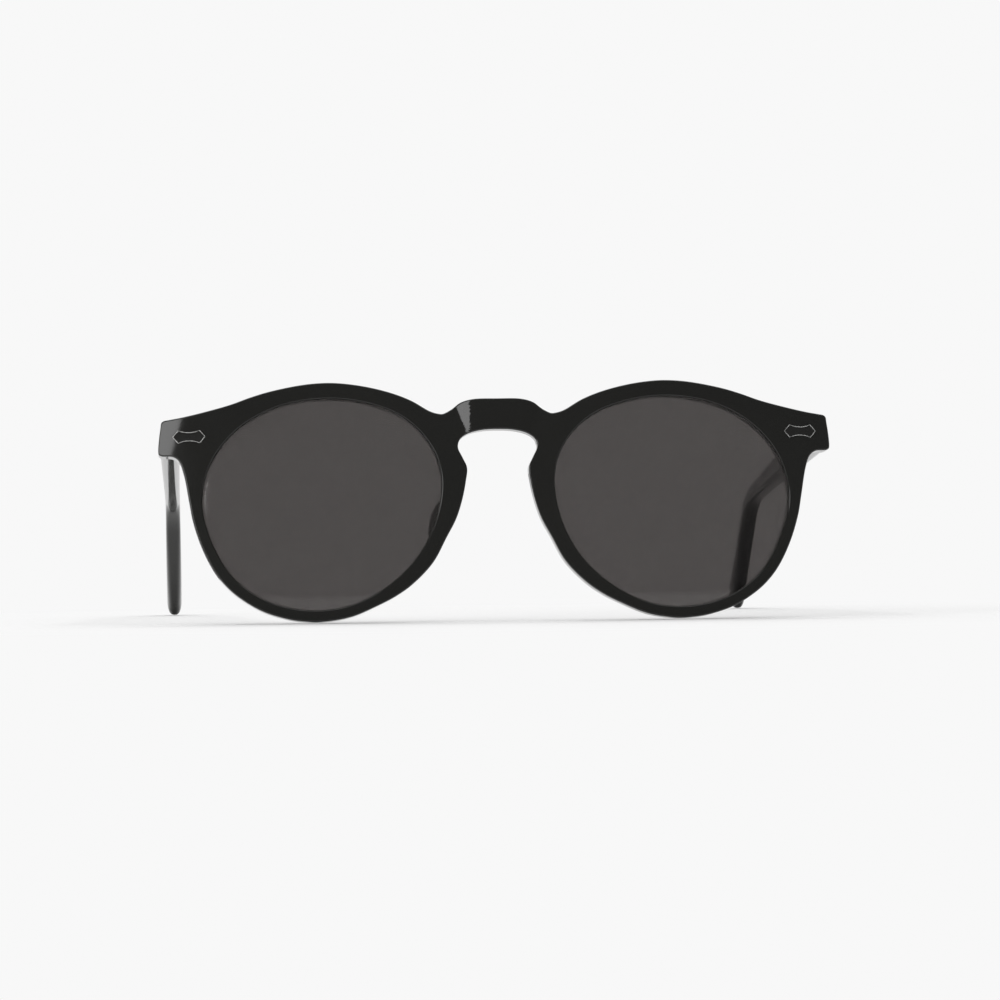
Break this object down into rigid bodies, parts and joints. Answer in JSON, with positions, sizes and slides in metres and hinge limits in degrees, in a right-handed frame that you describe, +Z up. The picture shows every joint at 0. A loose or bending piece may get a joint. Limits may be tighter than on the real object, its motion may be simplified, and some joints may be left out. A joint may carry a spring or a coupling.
{
  "type": "polarized sunglasses",
  "caption": "Sunglasses with a round keyhole front in black acetate, laminated grey polarizing lenses and temples that fold on barrel hinges.",
  "frame": {"origin": "on the table under the middle of the open sunglasses", "axes": "+X to the wearer's left, +Y from the front back to the temple tips, +Z up; the front faces -Y"},
  "size_m": [0.14, 0.152, 0.0496],
  "materials": {
    "acetate": "polished black cellulose acetate",
    "lens_layer": "clear to light grey triacetate, polished",
    "polarizing_film": "dark grey polarizing film",
    "plaque_metal": "silver border, darkened centre",
    "pin_metal": "plain drawn wire",
    "hinge_metal": "nickel silver, tumbled",
    "screw_metal": "plain steel",
    "wire_metal": "drawn nickel silver wire"
  },
  "bodies": {
    "front": {"front_frame": "acetate", "right_lens_outer_layer": "lens_layer", "right_lens_polarizer": "polarizing_film", "right_lens_inner_layer": "lens_layer", "right_plaque": "plaque_metal", "right_plaque_pins": "pin_metal", "right_nose_pad": "acetate", "right_hinge_front_leaf": "hinge_metal", "right_hinge_screw": "screw_metal", "left_lens_outer_layer": "lens_layer", "left_lens_polarizer": "polarizing_film", "left_lens_inner_layer": "lens_layer", "left_plaque": "plaque_metal", "left_plaque_pins": "pin_metal", "left_nose_pad": "acetate", "left_hinge_front_leaf": "hinge_metal", "left_hinge_screw": "screw_metal"},
    "right_temple_arm": {"right_temple": "acetate", "right_hinge_temple_leaf": "hinge_metal", "right_core_wire": "wire_metal"},
    "left_temple_arm": {"left_temple": "acetate", "left_hinge_temple_leaf": "hinge_metal", "left_core_wire": "wire_metal"}
  },
  "joints": [
    {"name": "right_temple_fold", "type": "hinge", "parent": "front", "child": "right_temple_arm", "pos_m": [-0.0636, -0.06175, 0.03805], "axis": [0, -0.0745, -0.9972], "range_deg": [0, 92]},
    {"name": "left_temple_fold", "type": "hinge", "parent": "front", "child": "left_temple_arm", "pos_m": [0.0636, -0.06175, 0.03805], "axis": [0, 0.0745, 0.9972], "range_deg": [0, 84]}
  ]
}
